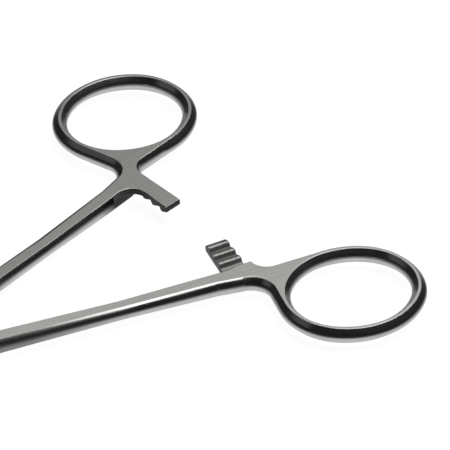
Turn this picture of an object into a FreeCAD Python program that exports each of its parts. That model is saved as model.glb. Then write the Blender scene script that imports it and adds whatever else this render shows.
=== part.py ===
import FreeCAD, Part
import math
import os
import Sketcher

# A straight tubing clamp: two forged halves that cross in a box joint, and the pin they turn on.
# Millimetres. The pin's axis is Z through the origin, +X runs to the finger rings, and z = 0 is the
# underside of the box joint. Each half is drawn closed, with its shank at y < 0 and its jaw at y > 0.
# The box half is then mirrored, and both are turned about the pin to the opening of the rest pose.

V = FreeCAD.Vector
doc = FreeCAD.newDocument("tubing_clamp")

# Driving dimensions
SIZES = {
    # the box joint
    "rest_opening": 8.7,          # degrees that each half is turned open at rest
    "joint_height": 5.6,          # over both walls of the box
    "joint_half_width": 5.1,      # from the middle plane to the outer side of the box
    "joint_corner": 9.9,          # radius of the box walls' ends about the pin
    "shoulder_gap": 0.25,         # from the ends of the walls to the shoulders of the lap
    "lap_height": 2.1,            # the lap that passes through the box
    "slot_play": 0.05,            # between the lap and each wall of the box
    "lap_hub": 3.9,               # half the width of the lap, rounded about the pin
    "web_start": 4.4,             # the box is solid between its walls from here, along X
    "hub_play": 0.25,             # between the lap's hub and the solid ends of the box
    "parting_gap": 0.3,           # between the closed halves, along the middle plane
    "pin_diameter": 3.0,
    "pin_play": 0.05,             # between the pin and the bore of the lap, on the radius
    "rivet_flare": 0.6,           # the riveted ends of the pin widen by this, and are as deep
    # the shanks
    "shoulder_reach": 13.5,       # the joint keeps its full section to here
    "shank_root": 20.0,           # where the shoulder has run out into the shank
    "shank_waist": 46.0,
    "shank_end": 66.0,            # where the shank passes into the neck
    "root_flat": 2.6,             # widths of the ground flats
    "waist_flat": 1.95,
    "neck_flat": 2.5,
    "root_height": 3.6,
    "waist_height": 3.05,
    "barrel": 0.8,                # how far the joint's sides and the inner sides stand out from the flats
    "root_round": 0.95,           # the same for the shanks' outer sides
    "waist_round": 1.2,
    "neck_round": 1.2,            # and for the outer sides of the necks and rings
    "box_root_offset": 3.88,      # from the middle plane to the middle of the flat, box half
    "box_waist_offset": 5.4,
    "box_neck_offset": 6.9,
    "lap_root_offset": 3.33,      # the same for the lap half
    "lap_waist_offset": 5.9,
    "lap_neck_offset": 7.9,
    # the finger rings
    "ring_height": 3.6,           # of the rings, the necks and both arms together
    "box_ring_distance": 88.6,    # from the pin to the ring's centre, along X
    "box_ring_offset": 23.7,      # from the middle plane to the ring's centre
    "lap_ring_distance": 89.0,
    "lap_ring_offset": 23.3,
    "ring_tilt": 5.4,             # degrees
    "ring_length": 27.6,          # the ring's inner edge, on the flat
    "ring_width": 24.3,
    "ring_end_drop": 0.95,        # the end arcs' radius is this much under half the width
    "ring_flat": 0.65,            # width of the ring's ground flat
    "ring_bulge": 1.2,            # how far the ring's inner side stands in from the flat
    "neck_step": 0.06,            # the neck's outer side starts this much inside the shank's
    "neck_flare": 6.0,            # degrees by which the shank's outer edge turns out into the notch
    "neck_side_angle": 79.5,      # degrees, the neck's outer side
    "neck_top_angle": -2.5,       # degrees, the neck's side towards the other half
    "notch_radius": 5.2,          # the hollow between shank and ring
    "crook_radius": 3.8,          # the hollow between arm and ring
    "box_heel_radius": 3.6,       # the hollow between shank and arm
    "lap_heel_radius": 1.5,
    "neck_rise": 0.5,             # the neck ends this far past the shank's inner edge, beside the arm
    # the ratchet
    "arm_clearance": 0.12,        # between the two arms where they pass
    "tooth_pitch": 2.75,
    "tooth_depth": 0.75,
    "tooth_count": 3,
    "tooth_lead": 0.35,           # how much of the first tooth's slope the tip cuts off
    "box_arm_start": 72.4,        # along X, where the arm leaves the shank
    "box_arm_width": 3.5,
    "box_arm_tip_width": 3.9,
    "box_arm_lean": -6.4,         # degrees that the arm's front side leans towards the rings
    "box_arm_reach": 4.8,         # past the middle plane
    "lap_arm_start": 69.9,
    "lap_arm_width": 5.4,
    "lap_arm_tip_width": 4.6,
    "lap_arm_lean": 7.4,
    "lap_arm_reach": 4.85,
    # the jaws
    "jaw_length": 51.0,           # from the pin to the tip
    "jaw_root": 15.0,
    "jaw_middle": 33.0,
    "jaw_middle_width": 3.7,
    "jaw_middle_height": 4.1,
    "jaw_tip_width": 2.6,
    "jaw_tip_height": 3.0,
    "jaw_round": 1.3,             # length of the rounded tip
}
sheet = doc.addObject("Spreadsheet::Sheet", "sizes")
for row, (alias, value) in enumerate(SIZES.items(), start=1):
    sheet.set("A%d" % row, alias.replace("_", " "))
    sheet.set("B%d" % row, str(value))
    sheet.setAlias("B%d" % row, alias)
doc.recompute()


class Size:
    """A length or angle: an expression on the sheet, with its present value beside it."""

    def __init__(self, text, number):
        self.text = text
        self.number = number

    def joined(self, sign, other, number):
        return Size("(%s %s %s)" % (self.text, sign, other.text), number)

    def __add__(self, other):
        other = as_size(other)
        return self.joined("+", other, self.number + other.number)

    def __sub__(self, other):
        other = as_size(other)
        return self.joined("-", other, self.number - other.number)

    def __mul__(self, other):
        other = as_size(other)
        return self.joined("*", other, self.number * other.number)

    def __truediv__(self, other):
        other = as_size(other)
        return self.joined("/", other, self.number / other.number)

    def __neg__(self):
        return as_size(0) - self


def as_size(value):
    """A Size from a Size, a plain number or the name of a cell."""
    if isinstance(value, Size):
        return value
    if isinstance(value, str):
        return Size("sizes." + value, float(sheet.get(value)))
    return Size("(%s)" % value if value < 0 else "%s" % value, float(value))


S = as_size
MID = S("joint_height") / 2                # every section is symmetric about this height
SIDE = S("parting_gap") / 2                # from the middle plane to the face of each half


def bind(thing, path, value):
    """Bind one property to the sheet."""
    thing.setExpression(path, S(value).text)


def place(thing, x=0, y=0, z=0):
    """Bind the position of an object's placement."""
    thing.Placement.Base = V(S(x).number, S(y).number, S(z).number)
    for axis, value in zip("xyz", (x, y, z)):
        bind(thing, "Placement.Base." + axis, value)


def keep(name, shape):
    """A shape worked out from the sizes, as an object of the document."""
    thing = doc.addObject("Part::Feature", name)
    thing.Shape = shape
    return thing


def box(name, x, y, z, length, width, height):
    """A block from its lowest corner and its sizes along X, Y and Z."""
    block = doc.addObject("Part::Box", name)
    for path, value in (("Length", length), ("Width", width), ("Height", height)):
        bind(block, path, value)
    place(block, x, y, z)
    return block


def drum(name, radius, z, height):
    """A cylinder about the pin's axis."""
    cylinder = doc.addObject("Part::Cylinder", name)
    bind(cylinder, "Radius", radius)
    bind(cylinder, "Height", height)
    place(cylinder, 0, 0, z)
    return cylinder


def fuse(name, *things):
    joined = doc.addObject("Part::MultiFuse", name)
    joined.Shapes = list(things)
    joined.Refine = True
    return joined


def cut(name, base, tool):
    left = doc.addObject("Part::Cut", name)
    left.Base = base
    left.Tool = tool
    return left


def loft(name, *sections):
    solid = doc.addObject("Part::Loft", name)
    solid.Sections = list(sections)
    solid.Solid = True
    return solid


# Sketched sections, square to X, with their own x along Y and their own y along Z
ACROSS = FreeCAD.Rotation(V(0, 1, 0), V(0, 0, 1), V(1, 0, 0), "XYZ")


def nearest_end(sketch, curve, point):
    """Which end of a sketch's curve, 1 or 2, lies at the point."""
    distances = [sketch.getPoint(curve, end).distanceToPoint(point) for end in (1, 2)]
    return 1 if distances[0] < distances[1] else 2


def section_sketch(name, station, corners, bulges):
    """A closed four-sided section, from (y, z) corners that start at the top outer one.

    bulges gives each side's sagitta, as a Size, or None where the side is straight.
    """
    sketch = doc.addObject("Sketcher::SketchObject", name)
    points = [V(y.number, z.number, 0) for y, z in corners]
    for side in range(4):
        start = points[side]
        end = points[(side + 1) % 4]
        if bulges[side] is None:
            sketch.addGeometry(Part.LineSegment(start, end))
            continue
        outward = (end - start).cross(V(0, 0, 1)).normalize() * -1
        middle = (start + end) / 2 + outward * bulges[side].number
        sketch.addGeometry(Part.Arc(start, middle, end))
    ends = [(nearest_end(sketch, side, points[side]), nearest_end(sketch, side, points[(side + 1) % 4]))
            for side in range(4)]
    for side in range(4):
        after = (side + 1) % 4
        sketch.addConstraint(Sketcher.Constraint("Coincident", side, ends[side][1], after, ends[after][0]))
    for side, (y, z) in enumerate(corners):
        for kind, label, value in (("DistanceX", "y", y), ("DistanceY", "z", z)):
            index = sketch.addConstraint(Sketcher.Constraint(kind, -1, 1, side, ends[side][0], value.number))
            sketch.renameConstraint(index, "%s%d" % (label, side))
            bind(sketch, "Constraints.%s%d" % (label, side), value)
        if bulges[side] is not None:
            z_next = corners[(side + 1) % 4][1]
            half = (z - z_next) / 2
            sagitta = bulges[side]
            radius = (half * half + sagitta * sagitta) / (sagitta * 2)
            index = sketch.addConstraint(Sketcher.Constraint("Radius", side, radius.number))
            sketch.renameConstraint(index, "round%d" % side)
            bind(sketch, "Constraints.round%d" % side, radius)
    sketch.Placement = FreeCAD.Placement(V(S(station).number, 0, MID.number), ACROSS)
    bind(sketch, "Placement.Base.x", station)
    bind(sketch, "Placement.Base.z", MID)
    return sketch


def barrel_section(name, station, centre, flat, height, outer_round):
    """A shank's section: flat above and below, with rounded sides."""
    outer = centre - flat / 2
    inner = centre + flat / 2
    top = height / 2
    corners = [(outer, top), (inner, top), (inner, -top), (outer, -top)]
    return section_sketch(name, station, corners, [None, S("barrel"), None, S(outer_round)])


def jaw_section(name, station, width, height, back):
    """A jaw's section at y > 0: a flat grip face at the middle plane, and a rounded back."""
    outer = SIDE + width - back
    top = height / 2
    corners = [(SIDE, top), (outer, top), (outer, -top), (SIDE, -top)]
    return section_sketch(name, station, corners, [None, back, None, None])


def shank(half):
    """The shank, from inside the joint to the neck."""
    joint_flat = S("joint_half_width") - SIDE - S("barrel") * 2
    joint_centre = -(SIDE + S("joint_half_width")) / 2
    joint = (joint_centre, joint_flat, S("joint_height"), "barrel")
    stations = [("hub", 0, *joint), ("shoulder", S("shoulder_reach"), *joint)]
    for name, height in (("root", "root_height"), ("waist", "waist_height"), ("neck", "ring_height")):
        station = S("shank_end") if name == "neck" else S("shank_" + name)
        centre = -S("%s_%s_offset" % (half, name))
        stations.append((name, station, centre, S(name + "_flat"), S(height), name + "_round"))
    sections = [barrel_section("%s_%s_section" % (half, name), *values) for name, *values in stations]
    joint_block = loft(half + "_joint_block", *sections[:2])
    shoulder = loft(half + "_shoulder", *sections[1:3])
    shank_run = loft(half + "_shank_run", *sections[2:])
    shank_run.Ruled = True
    return joint_block, shoulder, shank_run


def jaw(half):
    """The jaw: a straight taper with a smooth grip face and a rounded tip."""
    back = S("barrel")
    joint = (S("joint_half_width") - SIDE, S("joint_height"), back)
    tip = (S("jaw_tip_width"), S("jaw_tip_height"), back)
    stations = [("hub", S(0), *joint),
                ("root", S("jaw_root"), *joint),
                ("middle", S("jaw_middle"), S("jaw_middle_width"), S("jaw_middle_height"), back),
                ("tip", S("jaw_length") - S("jaw_round"), *tip),
                ("nose", S("jaw_length"), *(value / 2 for value in tip))]
    sections = [jaw_section("%s_jaw_%s" % (half, name), -station, *values)
                for name, station, *values in stations]
    jaw_run = loft(half + "_jaw_run", *sections[1:4])
    jaw_run.Ruled = True
    return loft(half + "_jaw_block", *sections[:2]), jaw_run, loft(half + "_jaw_end", *sections[3:])


# Plan outlines of the rings, necks and arms, at the height of their flats
def number(alias):
    return S(alias).number


def polar(angle, radius=1.0):
    return V(radius * math.cos(math.radians(angle)), radius * math.sin(math.radians(angle)), 0)


class Oval:
    """A finger ring's outline, grown from its inner edge: two end arcs and two side arcs, all tangent."""

    def __init__(self, half, grow):
        half_length = number("ring_length") / 2 + grow
        half_width = number("ring_width") / 2 + grow
        self.tilt = number("ring_tilt")
        self.centre = V(number(half + "_ring_distance"), -number(half + "_ring_offset"), 0)
        self.end_radius = half_width - number("ring_end_drop")
        self.end_shift = half_length - self.end_radius
        rise = half_width - self.end_radius
        self.side_radius = (self.end_shift ** 2 + half_width ** 2 - self.end_radius ** 2) / (2 * rise)
        self.side_shift = self.side_radius - half_width
        # the direction, from the long axis, in which an end arc passes into a side arc
        self.turn = math.degrees(math.atan2(self.side_shift, self.end_shift))

    def local(self, point):
        return self.centre + FreeCAD.Rotation(V(0, 0, 1), self.tilt).multVec(point)

    def arc_centre_and_radius(self, direction):
        """The arc whose outward normals include the direction, given in the ring's own frame."""
        folded = abs((direction + 180) % 360 - 180)
        if folded < self.turn:
            return V(self.end_shift, 0, 0), self.end_radius
        if folded > 180 - self.turn:
            return V(-self.end_shift, 0, 0), self.end_radius
        return V(0, -math.copysign(self.side_shift, math.sin(math.radians(direction))), 0), self.side_radius

    def point(self, direction):
        """The point of the outline whose outward normal has this direction in plan."""
        own = direction - self.tilt
        centre, radius = self.arc_centre_and_radius(own)
        return self.local(centre + polar(own, radius))

    def wire(self):
        ends = [self.turn, 180 - self.turn, 180 + self.turn, 360 - self.turn]
        arcs = []
        for start, end in zip(ends, ends[1:] + [ends[0] + 360]):
            marks = [self.point(angle + self.tilt) for angle in (start, (start + end) / 2, end)]
            # the marks just at a turn lie on both arcs, so the arcs join
            arcs.append(Part.Arc(*marks).toShape())
        return Part.Wire(arcs)


def meeting(point_a, along_a, point_b, along_b):
    """Where two lines in plan meet."""
    cross = along_a.x * along_b.y - along_a.y * along_b.x
    gap = point_b - point_a
    return point_a + along_a * ((gap.x * along_b.y - gap.y * along_b.x) / cross)


def left_of(direction):
    """The unit direction in plan that lies a quarter turn to the left."""
    return V(-direction.y, direction.x, 0).normalize()


def rounded_corner(before, corner, after, radius):
    """The arc of a radius that rounds a corner: its two ends and its middle."""
    to_before = (before - corner).normalize()
    to_after = (after - corner).normalize()
    half_angle = to_before.getAngle(to_after) / 2
    reach = radius / math.tan(half_angle)
    bisector = (to_before + to_after).normalize()
    middle = corner + bisector * (radius / math.sin(half_angle) - radius)
    return corner + to_before * reach, middle, corner + to_after * reach


def path(*steps):
    """A wire through points. A step of three points is an arc, and a single point ends a line."""
    edges = []
    at = None
    for step in steps:
        points = step if isinstance(step, tuple) else (step,)
        if at is not None and at.distanceToPoint(points[0]) > 1e-6:
            edges.append(Part.LineSegment(at, points[0]).toShape())
        if len(points) == 3:
            edges.append(Part.Arc(*points).toShape())
        at = points[-1]
    return Part.Wire(edges)


def rounded_side(upper, outward, bulge, faceted):
    """A section's side, from an upper edge down to the lower one, as far out as the bulge.

    A faceted side starts and ends with a facet at 45 degrees, and an arc joins the two on tangents.
    """
    lower = V(upper.x, upper.y, -upper.z)
    if not bulge:
        return [Part.LineSegment(upper, lower)]
    middle = V(upper.x, upper.y, 0) + outward * bulge
    share = math.tan(math.radians(22.5))
    facet = (bulge - share * upper.z) / (1 - share)
    if not faceted or facet < 0.05:
        return [Part.Arc(upper, middle, lower)]
    high = upper + outward * facet - V(0, 0, facet)
    low = V(high.x, high.y, -high.z)
    return [Part.LineSegment(upper, high), Part.Arc(high, middle, low), Part.LineSegment(low, lower)]


def rounded_face(at, outward, flat, outer_bulge, inner_bulge=0, faceted=False):
    """A section square to a path: a flat above and below, from at outwards, with rounded sides."""
    half = V(0, 0, number("ring_height") / 2)
    far = at + outward * flat
    outer = [edge.toShape() for edge in rounded_side(far + half, outward, outer_bulge, faceted)]
    inner = [edge.toShape() for edge in rounded_side(at + half, -outward, inner_bulge, faceted)]
    above = Part.LineSegment(at + half, far + half).toShape()
    below = Part.LineSegment(far - half, at - half).toShape()
    return Part.Wire([above, *outer, below, *inner[::-1]])


def arm_plan(half):
    """The ratchet arm's four corners in plan: front root, front tip, back tip and back root."""
    root = -number(half + "_neck_offset")
    tip = number(half + "_arm_reach")
    start = number(half + "_arm_start")
    lean = math.tan(math.radians(number(half + "_arm_lean"))) * (tip - root)
    back = start + number(half + "_arm_width")
    return [V(start, root, 0), V(start + lean, tip, 0),
            V(start + lean + number(half + "_arm_tip_width"), tip, 0), V(back, root, 0)]


def shank_inner_edge(half):
    """The shank's flat edge towards the other half: where the shank ends, and which way it runs on."""
    waist = V(number("shank_waist"), -number(half + "_waist_offset"), 0)
    end = V(number("shank_end"), -number(half + "_neck_offset"), 0)
    return end + V(0, number("neck_flat") / 2, 0), (end - waist).normalize()


def neck_outlines(half):
    """The neck's plan: its whole outline, and the stretches of it that get a rounded side.

    Each stretch comes with its name, and the direction from its start into the neck. The last value is how
    far the neck reaches towards the other half, along Y.
    """
    outer_oval = Oval(half, number("ring_flat"))
    inner_start, along = shank_inner_edge(half)
    outer_start = inner_start - V(0, number("neck_flat"), 0)
    flared = FreeCAD.Rotation(V(0, 0, 1), -number("neck_flare")).multVec(along)

    # the neck's outer side leaves the ring on a tangent and meets the shank in the notch
    side_along = polar(number("neck_side_angle"))
    side_foot = outer_oval.point(number("neck_side_angle") + 90)
    notch_corner = meeting(outer_start, flared, side_foot, side_along)
    notch = rounded_corner(outer_start, notch_corner, side_foot, number("notch_radius"))

    # the side towards the other half leaves the ring on a tangent too and meets the arm in the crook
    top_along = polar(number("neck_top_angle"))
    top_foot = outer_oval.point(number("neck_top_angle") + 90)
    front_root, front_tip, back_tip, back_root = arm_plan(half)
    crook_corner = meeting(top_foot, top_along, back_root, back_tip - back_root)
    crook = rounded_corner(back_tip, crook_corner, top_foot, number("crook_radius"))

    # and the shank's inner edge meets the arm in the heel
    heel_corner = meeting(inner_start, along, front_root, front_tip - front_root)
    outline = path(outer_start, notch, side_foot, outer_oval.centre, top_foot, crook[::-1],
                   heel_corner, inner_start, outer_start)
    sides = [("shank_side", path(outer_start, notch[0]), left_of(flared)),
             ("notch_side", path(notch, side_foot), left_of(flared)),
             ("crook_side", path(crook, top_foot), left_of(back_tip - back_root))]
    return outline, sides, heel_corner.y + number("neck_rise")


def head(half):
    """The neck and the finger ring of one half, from the end of the shank on."""
    level = FreeCAD.Placement(V(0, 0, MID.number), FreeCAD.Rotation())
    height = number("ring_height")
    flat = number("ring_flat")
    outer_round = number("neck_round")
    ring_path = Oval(half, 0)
    start_direction = ring_path.turn + ring_path.tilt
    ring_section = rounded_face(ring_path.point(start_direction), polar(start_direction), flat,
                                outer_round, number("ring_bulge"), faceted=True)
    ring = ring_path.wire().makePipeShell([ring_section], True, True)

    outline, sides, reach = neck_outlines(half)
    web = Part.Face(outline).extrude(V(0, 0, height))
    web.translate(V(0, 0, -height / 2))
    hole = Part.Face(Oval(half, flat / 2).wire()).extrude(V(0, 0, height * 2))
    hole.translate(V(0, 0, -height))
    beyond = Part.makeBox(number("box_ring_distance"), height * 4, height * 2, V(0, reach, -height))
    web = web.cut(hole).cut(beyond)

    pieces = [("ring", ring), ("neck", web)]
    bulges = {"shank_side": outer_round - number("neck_step"), "notch_side": outer_round,
              "crook_side": number("barrel")}
    for label, side, inwards in sides:
        start = side.OrderedVertexes[0].Point
        bead = rounded_face(start + inwards * 0.5, -inwards, 0.5, bulges[label],
                            faceted=label == "notch_side")
        pieces.append((label, side.makePipeShell([bead], True, False).cut(beyond)))
    things = []
    for label, shape in pieces:
        shape.Placement = level.multiply(shape.Placement)
        things.append(keep("%s_%s" % (half, label), shape))
    return things


def arm(half, upper):
    """The ratchet arm: sawteeth across it, that climb towards its own root and drop off steeply there.

    The upper arm has its teeth below, and the lower arm has them above.
    """
    face_level = (number("ring_height") - number("arm_clearance")) / 2
    pitch = number("tooth_pitch")
    depth = number("tooth_depth")
    valley = face_level - depth
    tip = number(half + "_arm_reach")
    crest = pitch * 0.2
    corners = arm_plan(half)
    root = corners[0].y
    # heights are from the arm's plain outer face towards its teeth
    lead = number("tooth_lead")
    profile = [V(0, root, 0), V(0, tip - valley * 0.3, 0), V(0, tip, valley * 0.3),
               V(0, tip, valley + depth * lead / (pitch - crest * 2))]
    for tooth in range(int(number("tooth_count"))):
        end = tip + lead - (tooth + 1) * pitch
        profile.append(V(0, end + crest * 2, face_level))
        profile.append(V(0, end + crest, face_level))
        profile.append(V(0, end, valley))
    profile.append(V(0, root, valley))
    outline = Part.makePolygon(profile + profile[:1])
    low = min(point.x for point in corners) - 1
    bar = Part.Face(outline).extrude(V(max(point.x for point in corners) + 1 - low, 0, 0))
    bar.translate(V(low, 0, 0))
    sides = Part.Face(Part.makePolygon(corners + corners[:1])).extrude(V(0, 0, number("ring_height")))
    bar = bar.common(sides)

    inner_start, along = shank_inner_edge(half)
    corner = meeting(inner_start, along, corners[0], corners[1] - corners[0])
    heel = rounded_corner(inner_start, corner, corners[1], number(half + "_heel_radius"))
    gusset = Part.Face(path(corner + V(0, -0.5, 0), heel[0] + V(0, -0.5, 0), heel, corner + V(0.5, 0, 0),
                            corner + V(0, -0.5, 0))).extrude(V(0, 0, (face_level + valley) / 2))
    solid = bar.fuse(gusset)
    if upper:
        solid = solid.mirror(V(0, 0, 0), V(0, 0, 1))
    outer_face = (MID + S("ring_height") / 2) if upper else (MID - S("ring_height") / 2)
    solid.translate(V(0, 0, outer_face.number))
    return keep(half + "_arm", solid)


def drilled_pin():
    """The joint pin: a plain rod with its ends riveted flush into the walls of the box."""
    radius = S("pin_diameter") / 2
    flare = S("rivet_flare")
    rod = drum("pin_rod", radius, 0, S("joint_height"))
    ends = []
    for name, z, low, high in (("pin_foot", 0, radius + flare, radius),
                               ("pin_head", S("joint_height") - flare, radius, radius + flare)):
        cone = doc.addObject("Part::Cone", name)
        for path_name, value in (("Radius1", low), ("Radius2", high), ("Height", flare)):
            bind(cone, path_name, value)
        place(cone, 0, 0, z)
        ends.append(cone)
    return fuse("joint_pin", rod, *ends)


def box_half(pin):
    """The half whose joint is a box: two walls, solid at both ends, with a slot for the lap between."""
    reach = S("joint_corner")
    flat = (S("joint_half_width") - S("barrel")) * 2
    ends = [barrel_section("box_block_" + name, station, S(0), flat, S("joint_height"), "barrel")
            for name, station in (("front", -reach), ("back", reach))]
    walls = doc.addObject("Part::MultiCommon", "box_walls")
    walls.Shapes = [loft("box_block", *ends), drum("box_round", reach, 0, S("joint_height"))]
    forging = fuse("box_forging", walls, *shank("box"), *jaw("box"), *head("box"), arm("box", True))

    slot_height = S("lap_height") + S("slot_play") * 2
    low = MID - slot_height / 2
    wide = S("joint_half_width") + 1
    long = reach + 1
    web = S("web_start")
    slot = fuse("box_slot",
                box("slot_middle", -web, -wide, low, web * 2, wide * 2, slot_height),
                box("slot_back", 0, -SIDE, low, long, wide + SIDE, slot_height),
                box("slot_front", -long, -wide, low, long, wide + SIDE, slot_height),
                drum("slot_hub", S("lap_hub") + S("hub_play"), low, slot_height))
    slotted = cut("box_slotted", forging, slot)
    drilled = cut("box_drilled", slotted, pin)
    half = doc.addObject("Part::Mirroring", "box_half")
    half.Source = drilled
    half.Normal = V(0, 1, 0)
    return half


def lap_half():
    """The half whose joint is a lap: a thin waist between shoulders that turn about the box walls."""
    solids = fuse("lap_forging", *shank("lap"), *jaw("lap"), *head("lap"), arm("lap", False))
    shoulders = cut("lap_shoulders", solids,
                    drum("lap_round", S("joint_corner") + S("shoulder_gap"), 0, S("joint_height")))
    low = MID - S("lap_height") / 2
    hub = S("lap_hub")
    long = S("joint_corner") + S("shoulder_gap") + 1
    whole = fuse("lap_whole", shoulders,
                 box("lap_back", 0, -hub, low, long, hub - SIDE, S("lap_height")),
                 box("lap_front", -long, SIDE, low, long, hub - SIDE, S("lap_height")),
                 drum("lap_middle", hub, low, S("lap_height")))
    bore = drum("lap_bore", S("pin_diameter") / 2 + S("pin_play"), 0, S("joint_height"))
    return cut("lap_half", whole, bore)


pin = drilled_pin()
box_side = box_half(pin)
lap_side = lap_half()
for half, turn in ((box_side, S("rest_opening")), (lap_side, -S("rest_opening"))):
    half.Placement.Rotation = FreeCAD.Rotation(V(0, 0, 1), turn.number)
    bind(half, "Placement.Rotation.Angle", turn)

doc.recompute()
os.makedirs("parts", exist_ok=True)
for thing in doc.Objects:
    if "Invalid" in thing.State or "Error" in thing.State:
        raise RuntimeError("%s did not build" % thing.Name)
for node in (box_side, lap_side, pin):
    node.Label = node.Name
    if not node.Shape.isValid() or len(node.Shape.Solids) != 1:
        raise RuntimeError("%s is not one valid solid" % node.Label)
    node.Shape.exportStep("parts/%s.step" % node.Label)
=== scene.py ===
import math
import bpy
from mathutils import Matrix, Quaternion, Vector

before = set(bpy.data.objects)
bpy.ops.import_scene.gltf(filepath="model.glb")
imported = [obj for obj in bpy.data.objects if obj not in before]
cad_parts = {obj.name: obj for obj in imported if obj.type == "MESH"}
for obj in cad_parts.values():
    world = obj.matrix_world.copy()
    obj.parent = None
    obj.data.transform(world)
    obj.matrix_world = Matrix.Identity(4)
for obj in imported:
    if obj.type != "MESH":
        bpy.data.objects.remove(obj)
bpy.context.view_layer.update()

MM = 0.001

# The camera, as the outlines of both rings and shanks give it
FOCAL_PX = 5580.0
PICTURE_PX = 450.0
SENSOR = 36.0
ELEVATION = math.radians(37.65)
AZIMUTH = math.radians(-39.26)
ROLL = math.radians(1.34)
DISTANCE = 1125.7 * MM
TARGET = Vector((76.92, -5.45, 4.55)) * MM
CLIP_START = 10 * MM

# At rest each half is turned open by this. Turned back, it lies in its own frame: X runs from the pin to the
# ring, and inward is its Y towards the other half, which is 0 in the closed clamp's middle plane.
HALF_TURN = math.radians(8.7)

# Where the finish and the painted light and shade change, as places in mm in that frame. A mask rises from
# the first to the second, and where there are four it falls again from the third to the fourth.
NECK_X = (70.6, 71.2, 75.2, 76.4)
NECK_INWARD = (-17.5, -13.0, -10.6, -10.2)
HEEL_X = (59.0, 66.0, 70.5, 71.5)
HEEL_INWARD = (-6.6, -6.3, -2.6, -1.2)
RING_X = (78.0, 80.0)
ARM_X = (65.9, 66.1, 77.5, 78.0)
ARM_INWARD = (-7.2, -7.0)
# Where the shank's inner side gets painted shade, darker towards the hollow before the arm
PAINTED_SHADE_X = (61.0, 66.0, 66.4, 66.6)
PAINTED_SHADE_INWARD = (-8.4, -8.0)
SATIN_FADE = 24 * MM

# How far the flats' edges are rounded over: where they stay crisp, and outside the neck, where polishing has
# rolled them over. The heel and the ring get a share of the difference.
CRISP_EDGE = 0.09 * MM
ROLLED_EDGE = 0.7 * MM
HEEL_SHARE = 0.45
RING_SHARE = 0.25

# The teeth: where they fade out above and below the middle height, the step from crest to crest, how far a
# crest wanders from its place, and how wide it is worn and painted bright as a highlight
MID_HEIGHT = 2.8 * MM
TOOTHED_BAND = (1.2 * MM, 1.5 * MM)
TOOTH_PITCH = 2.75 * MM
CREST_WANDER = 0.22 * MM
CREST_SPAN = (0.10 * MM, 0.40 * MM)

# Which way a face looks: spans of its normal's height, and of its normal's part along the shank
SLOPED = (0.15, 0.30)
SIDEWAYS = (0.80, 0.95)
LEVEL = (0.90, 0.985)
ALONG_SHANK = (0.35, 0.6)

# Patterns, in cells per metre, and how deep they are. The pin's lines run their own way.
HALF_LINES = 3600.0
PIN_LINES = 3200.0
WHEEL_WAVES = 90.0
CREST_NICKS = 1500.0
LINE_DEPTH = 0.004 * MM
PIN_LINE_DEPTH = 0.003 * MM
PIN_LINE_STRENGTH = 0.8
WAVE_DEPTH = 0.02 * MM
WAVE_STRENGTH = 0.25
PIN_TURN = 0.6

# Colours of the steel. Each pair is what a pattern mixes.
GROUND = ((0.51, 0.515, 0.49), (0.69, 0.695, 0.665))
POLISHED = ((0.75, 0.745, 0.735), (0.67, 0.665, 0.655))
MILLED = ((0.19, 0.19, 0.185), (0.48, 0.48, 0.465))
# Painted shade: near-black steel for the upright walls beside the teeth and the hollow before the arm
WALL_PAINTED_SHADE = ((0.04, 0.04, 0.04), (0.085, 0.085, 0.082))
PIN = ((0.50, 0.50, 0.485), (0.60, 0.60, 0.58))
SATIN_SIDE = (0.36, 0.36, 0.35)
# Worn crests, brightened further as a painted highlight along each tooth
WORN_CREST_HIGHLIGHT = (0.68, 0.68, 0.66)

# Roughness of the same surfaces
GROUND_ROUGH = (0.42, 0.33)
POLISHED_ROUGH = (0.22, 0.29)
PIN_ROUGH = (0.34, 0.26)
SATIN_SIDE_ROUGH = 0.40
MILLED_ROUGH = 0.5

# Meshes: faces whose normal is higher than this are flats, and edges sharper than this stay sharp
FLAT_HEIGHT = 0.975
SHARP_EDGE = math.radians(22)
WELD = 0.001 * MM

# Level softboxes: low and high X, low and high Y, each per unit of height from the rings' place, and radiance
LAMP_HEIGHT = 0.9
RINGS_X = 77 * MM
LAMPS = {
    "main_wide": (0.06, 0.91, -0.46, 0.68, 1.75),
    "main_middle": (0.10, 0.87, -0.28, 0.62, 1.75),
    "main_core": (0.14, 0.83, -0.10, 0.56, 1.75),
    "fill": (-1.5, -0.40, 0.15, 1.3, 0.07),
}

# The floor, as it is lit, as the camera sees it and as the metal mirrors it, by how flat the angle is
FLOOR_REACH = 3.0
FLOOR_COLOUR = (0.9, 0.9, 0.9)
FLOOR_ROUGH = 0.9
FLOOR_GLOW = 1.25
FLOOR_GLOW_SHARE = 0.76
MIRRORED_NEAR = (0.62, 0.62, 0.62)
MIRRORED_FAR = (0.02, 0.02, 0.02)
MIRRORED_SPAN = (0.33, 0.88)

# The dark room that the metal mirrors, from the horizon up
ROOM_LOW = (0.018, 0.018, 0.0185)
ROOM_HIGH = (0.008, 0.008, 0.008)
ROOM_RISE = 0.75
WHITE = (1.0, 1.0, 1.0)


def feed(tree, socket, source):
    """Give a socket its value, or link another socket to it."""
    if isinstance(source, bpy.types.NodeSocket):
        tree.links.new(source, socket)
    else:
        socket.default_value = source


def add_node(tree, kind, inputs=(), **settings):
    """A node with its settings, and with a value or a socket for its inputs, by name or number."""
    node = tree.nodes.new(kind)
    for name, value in settings.items():
        setattr(node, name, value)
    for name, source in dict(inputs).items():
        feed(tree, node.inputs[name], source)
    return node


def new_group(name, inputs, outputs):
    """An empty shader node group with named sockets, and its two end nodes' sockets."""
    group = bpy.data.node_groups.new(name, "ShaderNodeTree")
    for label, value in inputs.items():
        socket = group.interface.new_socket(label, in_out="INPUT", socket_type="NodeSocketFloat")
        socket.default_value = value
    for label, kind in outputs.items():
        group.interface.new_socket(label, in_out="OUTPUT", socket_type="NodeSocket" + kind)
    return group, group.nodes.new("NodeGroupInput").outputs, group.nodes.new("NodeGroupOutput").inputs


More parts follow.
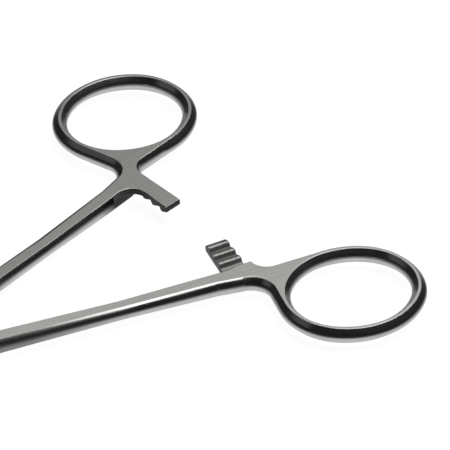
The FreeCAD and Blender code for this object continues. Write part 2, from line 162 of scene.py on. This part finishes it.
def place_group(tree, group, **inputs):
    """A group in a material, with a value or a socket for its inputs, and its outputs."""
    node = add_node(tree, "ShaderNodeGroup", node_tree=group,
                    inputs={name.replace("_", " "): source for name, source in inputs.items()})
    return node.outputs


def arithmetic(tree, operation, *operands):
    """One Math node. Each operand is a number or a socket."""
    return add_node(tree, "ShaderNodeMath", operation=operation, inputs=enumerate(operands)).outputs[0]


def product(tree, first, *others):
    for other in others:
        first = arithmetic(tree, "MULTIPLY", first, other)
    return first


def spread(tree, value, low, high, to_low=0.0, to_high=1.0):
    """A value mapped from one span to another and held at its ends, which are numbers or sockets."""
    ends = {"From Min": low, "From Max": high, "To Min": to_low, "To Max": to_high}
    return add_node(tree, "ShaderNodeMapRange", clamp=True, inputs={"Value": value, **ends}).outputs["Result"]


def fall(tree, value, low, high):
    return spread(tree, value, low, high, 1.0, 0.0)


def window(tree, value, places):
    """A mask along a length, which rises between two places in mm, and falls again between two more."""
    start, full, *fading = [place * MM for place in places]
    rising = spread(tree, value, start, full)
    return product(tree, rising, fall(tree, value, *fading)) if fading else rising


def shaded(colour, shade=1.0):
    """RGBA from red, green and blue, times a shade."""
    return tuple(shade * channel for channel in colour) + (1.0,)


def mixed_colour(tree, factor, first, second):
    """Two colours mixed. Each is an RGBA tuple or a socket. A Mix node's colour sockets go by number."""
    sockets = {0: factor, 6: first, 7: second}
    return add_node(tree, "ShaderNodeMix", data_type="RGBA", inputs=sockets).outputs[2]


def mixed_shader(tree, factor, first, second):
    return add_node(tree, "ShaderNodeMixShader", inputs={0: factor, 1: first, 2: second}).outputs[0]


def bumped(tree, pattern, depth, strength, normal=None):
    """The surface's normal, or the one given, bumped by a pattern."""
    inputs = {"Height": pattern, "Distance": depth, "Strength": strength}
    if normal is not None:
        inputs["Normal"] = normal
    return add_node(tree, "ShaderNodeBump", inputs=inputs).outputs["Normal"]


def turned(tree, name, turn):
    """A texture coordinate turned about Z."""
    vector = add_node(tree, "ShaderNodeTexCoord").outputs[name]
    return add_node(tree, "ShaderNodeVectorRotate", rotation_type="Z_AXIS",
                    inputs={"Vector": vector, "Angle": turn}).outputs[0]


def parts_of(tree, vector):
    return add_node(tree, "ShaderNodeSeparateXYZ", inputs={"Vector": vector}).outputs


def stretched_noise(tree, turn, scale, stretch=1.0, detail=3.0, roughness=0.55):
    """Noise on Object coordinates turned about Z. A stretch below 1 draws it out into streaks along X."""
    vector = add_node(tree, "ShaderNodeVectorMath", operation="MULTIPLY",
                      inputs={0: turned(tree, "Object", turn), 1: (stretch, 1.0, 1.0)}).outputs[0]
    return add_node(tree, "ShaderNodeTexNoise", inputs={"Vector": vector, "Scale": scale, "Detail": detail,
                                                        "Roughness": roughness}).outputs["Fac"]


def ground_flats_group():
    """Where the steel is ground level, with edges that polishing has rounded over.

    Flat is 1 on the level faces and 0 on the sides between. Normal is the surface's own, rounded over along
    the edges.
    """
    group, given, out = new_group("ground flats", {"Radius": CRISP_EDGE},
                                  {"Flat": "Float", "Normal": "Vector"})
    soft = add_node(group, "ShaderNodeBevel", samples=8, inputs={"Radius": given["Radius"]}).outputs["Normal"]
    height = arithmetic(group, "ABSOLUTE", parts_of(group, soft)["Z"])
    feed(group, out["Flat"], spread(group, height, *LEVEL))
    feed(group, out["Normal"], soft)
    return group


def grinding_group():
    """Fine lines of a belt, with a few deeper ones, along a direction in plan."""
    group, given, out = new_group("grinding lines", {"Turn": 0.0, "Scale": HALF_LINES},
                                  {"Height": "Float", "Tone": "Float"})
    fine = stretched_noise(group, given["Turn"], given["Scale"], stretch=0.035, detail=4.0, roughness=0.6)
    coarse_scale = product(group, given["Scale"], 0.3)
    coarse = stretched_noise(group, given["Turn"], coarse_scale, stretch=0.02, detail=2.0)
    deep = spread(group, coarse, 0.35, 0.48)
    feed(group, out["Height"], arithmetic(group, "ADD", product(group, fine, 0.6), product(group, deep, 0.4)))
    feed(group, out["Tone"], spread(group, fine, 0.3, 0.7))
    return group


def polish_group():
    """Soft waves that a polishing wheel leaves, and clouded patches of handling."""
    group, given, out = new_group("polish", {"Turn": 0.0, "Scale": WHEEL_WAVES},
                                  {"Height": "Float", "Haze": "Float"})
    waves = stretched_noise(group, given["Turn"], given["Scale"], stretch=0.25, detail=1.0, roughness=0.3)
    haze = stretched_noise(group, given["Turn"], product(group, given["Scale"], 2.5), stretch=0.5)
    feed(group, out["Height"], waves)
    feed(group, out["Haze"], spread(group, haze, 0.45, 0.75))
    return group


def shank_group():
    """What changes along a half: Polished grows from the joint to the ring, and Rolled is how far polishing
    has rolled the flats' edges over, most outside the neck, less on the ring and in the heel before the arm.

    Side is 1 where the arm points to +Y of the half's own frame, and -1 where it points to -Y.
    """
    group, given, out = new_group("along the shank", {"Turn": 0.0, "Side": 1.0, "Satin Reach": 0.0},
                                  {"Polished": "Float", "Rolled": "Float"})
    place = parts_of(group, turned(group, "Object", given["Turn"]))
    polished_from = arithmetic(group, "ADD", given["Satin Reach"], SATIN_FADE)
    feed(group, out["Polished"], spread(group, place["X"], given["Satin Reach"], polished_from))

    inward = product(group, place["Y"], given["Side"])
    neck = product(group, window(group, place["X"], NECK_X), window(group, inward, NECK_INWARD))
    heel = product(group, window(group, place["X"], HEEL_X), window(group, inward, HEEL_INWARD), HEEL_SHARE)
    ring = product(group, window(group, place["X"], RING_X), RING_SHARE)
    feed(group, out["Rolled"], arithmetic(group, "MAXIMUM", arithmetic(group, "MAXIMUM", neck, heel), ring))
    return group


def arm_group():
    """The milled teeth of a ratchet arm, their crests at even steps from its tip, worn and brightened as a
    painted highlight, and its walls darkened as painted shade.

    The teeth lie between the arm's level faces and run straight across, so their normals have no part along
    X. The walls beside them are upright, as is the hollow where the arm leaves the shank, and they get
    painted shade, as does the shank's inner side, darker towards that hollow. Side is as for the shank.
    """
    group, given, out = new_group("toothed arm", {"Turn": 0.0, "Side": 1.0, "First Crest": 0.0},
                                  {"Milled": "Float", "Crest": "Float", "Painted Shade": "Float"})
    place, normal = [parts_of(group, turned(group, name, given["Turn"])) for name in ("Object", "Normal")]
    inward = product(group, place["Y"], given["Side"])
    on_arm = product(group, window(group, place["X"], ARM_X), window(group, inward, ARM_INWARD))
    height = arithmetic(group, "ABSOLUTE", normal["Z"])

    from_middle = arithmetic(group, "ABSOLUTE", arithmetic(group, "SUBTRACT", place["Z"], MID_HEIGHT))
    across = fall(group, arithmetic(group, "ABSOLUTE", normal["X"]), *ALONG_SHANK)
    feed(group, out["Milled"], product(group, on_arm, fall(group, from_middle, *TOOTHED_BAND), across,
                                       spread(group, height, *SLOPED)))

    # Painted shade: the upright walls beside the teeth and the shank's inner side towards the hollow are
    # darkened in colour
    arm_wall_shade = product(group, on_arm, fall(group, height, *SLOPED))
    painted_darkening = product(group, window(group, place["X"], PAINTED_SHADE_X),
                        window(group, inward, PAINTED_SHADE_INWARD), fall(group, height, *SIDEWAYS))
    feed(group, out["Painted Shade"], arithmetic(group, "MAXIMUM", arm_wall_shade, painted_darkening))

    # The crests, worn and painted bright as a highlight, wander and vary in brightness along the teeth
    nicks = stretched_noise(group, given["Turn"], CREST_NICKS, detail=2.0)
    wander = spread(group, nicks, 0.3, 0.7, -CREST_WANDER, CREST_WANDER)
    from_first = arithmetic(group, "ADD", arithmetic(group, "SUBTRACT", inward, given["First Crest"]), wander)
    crest_highlight = fall(group, arithmetic(group, "PINGPONG", from_first, TOOTH_PITCH / 2), *CREST_SPAN)
    feed(group, out["Crest"], product(group, crest_highlight, spread(group, nicks, 0.3, 0.6, 1.6, 0.8)))
    return group


def clean_material(name):
    material = bpy.data.materials.new(name)
    material.use_nodes = True
    tree = material.node_tree
    return material, tree, tree.nodes["Principled BSDF"]


def forged_steel(name, groups, turn, side, first_crest, satin_reach, joint_light_and_shade, ring_light_and_shade):
    """A half of the clamp: satin flats with lines along the shank, bright polished sides and milled teeth.

    The sides are satin up to satin_reach from the pin, and polished from SATIN_FADE further on. Over the same
    stretch the flats' painted light and shade goes from the joint's to the ring's: one ground steel, made
    lighter or darker per half and along the shank for how light falls on it.
    """
    material, tree, shader = clean_material(name)
    shank = place_group(tree, groups["shank"], Turn=turn, Side=side, Satin_Reach=satin_reach)
    arm = place_group(tree, groups["arm"], Turn=turn, Side=side, First_Crest=first_crest)
    edge_radius = spread(tree, shank["Rolled"], 0.0, 1.0, CRISP_EDGE, ROLLED_EDGE)
    ground = place_group(tree, groups["flats"], Radius=edge_radius)
    lines = place_group(tree, groups["grinding"], Turn=turn, Scale=HALF_LINES)
    polish = place_group(tree, groups["polish"], Turn=turn, Scale=WHEEL_WAVES)

    # The flats' colour times painted light and shade, at the joint and at the ring
    painted_satin_at_joint, painted_satin_at_ring = [
        mixed_colour(tree, lines["Tone"], *[shaded(colour, shade) for colour in GROUND])
        for shade in (joint_light_and_shade, ring_light_and_shade)]
    satin = mixed_colour(tree, shank["Polished"], painted_satin_at_joint, painted_satin_at_ring)
    polished = mixed_colour(tree, polish["Haze"], *map(shaded, POLISHED))
    bright = mixed_colour(tree, shank["Polished"], shaded(SATIN_SIDE), polished)
    cut = mixed_colour(tree, lines["Tone"], *map(shaded, MILLED))
    # The crests worn bright, with a painted highlight along them
    worn_crest_highlight = mixed_colour(tree, arm["Crest"], cut, shaded(WORN_CREST_HIGHLIGHT))
    # Near-black painted shade for the walls beside the teeth and the hollow before the arm
    painted_shade = mixed_colour(tree, polish["Haze"], *map(shaded, WALL_PAINTED_SHADE))
    steel = mixed_colour(tree, ground["Flat"], mixed_colour(tree, arm["Painted Shade"], bright, painted_shade), satin)
    feed(tree, shader.inputs["Base Color"], mixed_colour(tree, arm["Milled"], steel, worn_crest_highlight))
    feed(tree, shader.inputs["Metallic"], 1.0)

    polished_rough = spread(tree, polish["Haze"], 0.0, 1.0, *POLISHED_ROUGH)
    side_rough = spread(tree, shank["Polished"], 0.0, 1.0, SATIN_SIDE_ROUGH, polished_rough)
    flat_rough = spread(tree, lines["Tone"], 0.0, 1.0, *GROUND_ROUGH)
    steel_rough = spread(tree, ground["Flat"], 0.0, 1.0, side_rough, flat_rough)
    feed(tree, shader.inputs["Roughness"], spread(tree, arm["Milled"], 0.0, 1.0, steel_rough, MILLED_ROUGH))

    lined = bumped(tree, lines["Height"], LINE_DEPTH, ground["Flat"], normal=ground["Normal"])
    waved = bumped(tree, polish["Height"], WAVE_DEPTH, WAVE_STRENGTH, normal=lined)
    feed(tree, shader.inputs["Normal"], waved)
    return material


def pin_steel(groups):
    """The pin: riveted ends ground with the walls, a shade darker and finer."""
    material, tree, shader = clean_material("pin_steel")
    lines = place_group(tree, groups["grinding"], Turn=PIN_TURN, Scale=PIN_LINES)
    feed(tree, shader.inputs["Base Color"], mixed_colour(tree, lines["Tone"], *map(shaded, PIN)))
    feed(tree, shader.inputs["Metallic"], 1.0)
    feed(tree, shader.inputs["Roughness"], spread(tree, lines["Tone"], 0.0, 1.0, *PIN_ROUGH))
    feed(tree, shader.inputs["Normal"], bumped(tree, lines["Height"], PIN_LINE_DEPTH, PIN_LINE_STRENGTH))
    return material


def smoothing_tree():
    """Geometry nodes that shade every edge smoothly, unless it is sharp or bounds a flat.

    At an edge, the mean of what its two faces say of being a flat is one half where just one of them is.
    """
    tree = bpy.data.node_groups.new("smooth polished sides", "GeometryNodeTree")
    for direction in ("INPUT", "OUTPUT"):
        tree.interface.new_socket("Geometry", in_out=direction, socket_type="NodeSocketGeometry")
    start = tree.nodes.new("NodeGroupInput")
    end = tree.nodes.new("NodeGroupOutput")
    faces = add_node(tree, "GeometryNodeSetShadeSmooth", domain="FACE", inputs={"Geometry": start.outputs[0]})

    normal = add_node(tree, "GeometryNodeInputNormal").outputs["Normal"]
    height = arithmetic(tree, "ABSOLUTE", parts_of(tree, normal)["Z"])
    flat = add_node(tree, "GeometryNodeFieldOnDomain", domain="FACE", data_type="FLOAT",
                    inputs={0: arithmetic(tree, "GREATER_THAN", height, FLAT_HEIGHT)}).outputs[0]
    from_half = arithmetic(tree, "ABSOLUTE", arithmetic(tree, "SUBTRACT", flat, 0.5))
    both_or_none = arithmetic(tree, "GREATER_THAN", from_half, 0.25)

    angle = add_node(tree, "GeometryNodeInputMeshEdgeAngle").outputs["Unsigned Angle"]
    smooth = product(tree, arithmetic(tree, "LESS_THAN", angle, SHARP_EDGE), both_or_none)
    edges = add_node(tree, "GeometryNodeSetShadeSmooth", domain="EDGE",
                     inputs={"Geometry": faces.outputs[0], "Shade Smooth": smooth})
    feed(tree, end.inputs[0], edges.outputs[0])
    return tree


def dress(obj, material, smoothing):
    if obj.material_slots:
        for slot in obj.material_slots:
            slot.material = material
    else:
        obj.data.materials.append(material)
    weld = obj.modifiers.new("weld", "WELD")
    weld.merge_threshold = WELD
    smooth = obj.modifiers.new("smooth", "NODES")
    smooth.node_group = smoothing


def dress_clamp():
    groups = {"flats": ground_flats_group(), "grinding": grinding_group(), "polish": polish_group(),
              "shank": shank_group(), "arm": arm_group()}
    # The joint and ring values are painted light and shade on the flats: the box half darkened, the lap half
    # lightened towards its joint
    finishes = {
        "box_half": forged_steel("forged_steel_box", groups, turn=-HALF_TURN, side=-1.0,
                                 first_crest=3.225 * MM, satin_reach=8 * MM,
                                 joint_light_and_shade=0.86, ring_light_and_shade=0.86),
        "lap_half": forged_steel("forged_steel_lap", groups, turn=HALF_TURN, side=1.0,
                                 first_crest=3.275 * MM, satin_reach=26 * MM,
                                 joint_light_and_shade=1.19, ring_light_and_shade=1.04),
        "joint_pin": pin_steel(groups),
    }
    smoothing = smoothing_tree()
    for node, material in finishes.items():
        dress(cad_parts[node], material, smoothing)


def add_to_scene(name, data):
    obj = bpy.data.objects.new(name, data)
    bpy.context.scene.collection.objects.link(obj)
    return obj


def make_camera():
    data = bpy.data.cameras.new("camera")
    data.sensor_width = SENSOR
    data.lens = FOCAL_PX / PICTURE_PX * SENSOR
    data.clip_start = CLIP_START
    camera = add_to_scene("camera", data)
    back = Vector((math.sin(AZIMUTH) * math.cos(ELEVATION), -math.cos(AZIMUTH) * math.cos(ELEVATION),
                   math.sin(ELEVATION)))
    camera.location = TARGET + back * DISTANCE
    camera.rotation_mode = "QUATERNION"
    camera.rotation_quaternion = (-back).to_track_quat("-Z", "Y") @ Quaternion((0, 0, 1), ROLL)
    bpy.context.scene.camera = camera


def make_lamp(name, low_x, high_x, low_y, high_y, radiance):
    """A level softbox over the clamp, which shines straight down."""
    width, depth = (high_x - low_x) * LAMP_HEIGHT, (high_y - low_y) * LAMP_HEIGHT
    middle_x, middle_y = (low_x + high_x) / 2 * LAMP_HEIGHT, (low_y + high_y) / 2 * LAMP_HEIGHT
    data = bpy.data.lights.new(name, "AREA")
    data.shape = "RECTANGLE"
    data.size = width
    data.size_y = depth
    data.energy = radiance * math.pi * width * depth
    lamp = add_to_scene(name, data)
    lamp.location = (middle_x + RINGS_X, middle_y, LAMP_HEIGHT)
    lamp.rotation_mode = "QUATERNION"
    lamp.rotation_quaternion = Vector((0, 0, -LAMP_HEIGHT)).to_track_quat("-Z", "Y")


def make_floor():
    """A pale floor. The camera sees it white, with a little of the shadow left in.

    The metal sees it pale below itself, fading to dark at a flat angle, as if it ended there.
    """
    mesh = bpy.data.meshes.new("floor")
    corners = [(x * FLOOR_REACH, y * FLOOR_REACH, 0) for x, y in ((-1, -1), (1, -1), (1, 1), (-1, 1))]
    mesh.from_pydata(corners, [], [(0, 1, 2, 3)])
    floor = add_to_scene("floor", mesh)
    material, tree, shader = clean_material("floor")
    feed(tree, shader.inputs["Roughness"], FLOOR_ROUGH)
    feed(tree, shader.inputs["Specular IOR Level"], 0.0)

    light_path = add_node(tree, "ShaderNodeLightPath").outputs
    facing = add_node(tree, "ShaderNodeLayerWeight", inputs={"Blend": 0.5}).outputs["Facing"]
    flatness = spread(tree, facing, *MIRRORED_SPAN)
    mirrored = mixed_colour(tree, flatness, shaded(MIRRORED_NEAR), shaded(MIRRORED_FAR))
    lit, glowing = [mixed_colour(tree, light_path["Is Glossy Ray"], shaded(colour), mirrored)
                    for colour in (FLOOR_COLOUR, WHITE)]
    feed(tree, shader.inputs["Base Color"], lit)
    glow = add_node(tree, "ShaderNodeEmission", inputs={"Strength": FLOOR_GLOW, "Color": glowing}).outputs[0]
    in_view = arithmetic(tree, "MAXIMUM", light_path["Is Camera Ray"], light_path["Is Glossy Ray"])
    seen = mixed_shader(tree, product(tree, in_view, FLOOR_GLOW_SHARE), shader.outputs[0], glow)
    feed(tree, tree.nodes["Material Output"].inputs["Surface"], seen)
    mesh.materials.append(material)


def make_world():
    """White for the camera, and a dark room for everything else."""
    world = bpy.data.worlds.new("studio")
    bpy.context.scene.world = world
    world.use_nodes = True
    tree = world.node_tree
    direction = add_node(tree, "ShaderNodeTexCoord").outputs["Generated"]
    rise = spread(tree, parts_of(tree, direction)["Z"], 0.0, ROOM_RISE)
    room = tree.nodes["Background"]
    feed(tree, room.inputs["Color"], mixed_colour(tree, rise, shaded(ROOM_LOW), shaded(ROOM_HIGH)))
    backdrop = add_node(tree, "ShaderNodeBackground", inputs={"Color": shaded(WHITE), "Strength": 1.0})
    in_view = add_node(tree, "ShaderNodeLightPath").outputs["Is Camera Ray"]
    seen = mixed_shader(tree, in_view, room.outputs[0], backdrop.outputs[0])
    feed(tree, tree.nodes["World Output"].inputs["Surface"], seen)


make_camera()
dress_clamp()
make_world()
make_floor()
for name, spans in LAMPS.items():
    make_lamp(name, *spans)
bpy.context.scene.view_settings.view_transform = "Standard"
